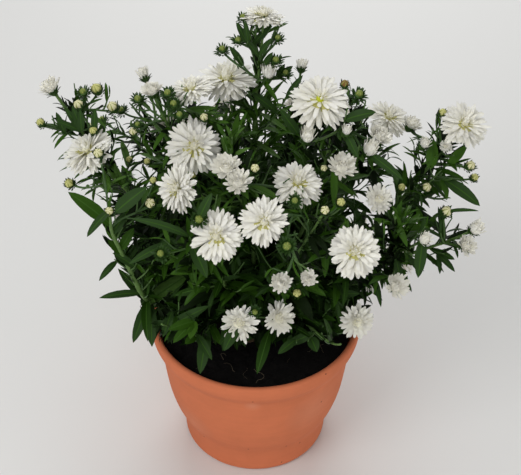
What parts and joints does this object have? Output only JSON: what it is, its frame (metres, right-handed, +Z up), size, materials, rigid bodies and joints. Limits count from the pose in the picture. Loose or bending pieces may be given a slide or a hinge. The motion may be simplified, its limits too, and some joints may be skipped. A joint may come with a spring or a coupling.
{
  "type": "potted aster",
  "caption": "Bushy double-flowered aster in full white bloom, growing in a round clay pot of compost.",
  "frame": {"origin": "centre of the pot's flat underside, on the surface that the pot stands on", "axes": "+Z up along the pot's axis, -Y towards the front of the plant, +X to the right seen from the front"},
  "size_m": [0.3131, 0.2595, 0.359],
  "materials": {
    "clay": "matte",
    "compost": "matte",
    "stem": "matte",
    "shoot": "matte",
    "foliage": "satin",
    "petal": "matte",
    "bud": "matte"
  },
  "bodies": {
    "root": {"compost": "compost", "limb_back_left": "shoot", "limb_back_right": "shoot", "limb_dome_back_left": "shoot", "limb_dome_back_right": "shoot", "limb_dome_front": "shoot", "limb_dome_left": "shoot", "limb_dome_right": "shoot", "limb_front_left": "shoot", "limb_front_right": "shoot", "limb_left": "shoot", "limb_left_back": "shoot", "limb_left_front": "shoot", "limb_right": "shoot", "limb_right_back": "shoot", "limb_right_front": "shoot", "limb_right_low": "shoot", "limb_skirt_back": "shoot", "limb_skirt_back_left": "shoot", "limb_skirt_back_right": "shoot", "limb_skirt_front": "shoot", "limb_skirt_front_left": "shoot", "limb_skirt_front_right": "shoot", "limb_skirt_left": "shoot", "limb_skirt_left_back": "shoot", "limb_skirt_right": "shoot", "limb_skirt_right_back": "shoot", "limb_top": "shoot", "mass_back_left": "foliage", "mass_back_right": "foliage", "mass_dome_back_left": "foliage", "mass_dome_back_right": "foliage", "mass_dome_front": "foliage", "mass_dome_left": "foliage", "mass_dome_right": "foliage", "mass_front_left": "foliage", "mass_front_right": "foliage", "mass_left": "foliage", "mass_left_back": "foliage", "mass_left_front": "foliage", "mass_right": "foliage", "mass_right_back": "foliage", "mass_right_front": "foliage", "mass_right_low": "foliage", "mass_skirt_back": "foliage", "mass_skirt_back_left": "foliage", "mass_skirt_back_right": "foliage", "mass_skirt_front": "foliage", "mass_skirt_front_left": "foliage", "mass_skirt_front_right": "foliage", "mass_skirt_left": "foliage", "mass_skirt_left_back": "foliage", "mass_skirt_right": "foliage", "mass_skirt_right_back": "foliage", "mass_top": "foliage", "pot": "clay", "stem_base": "stem"}
  },
  "joints": []
}
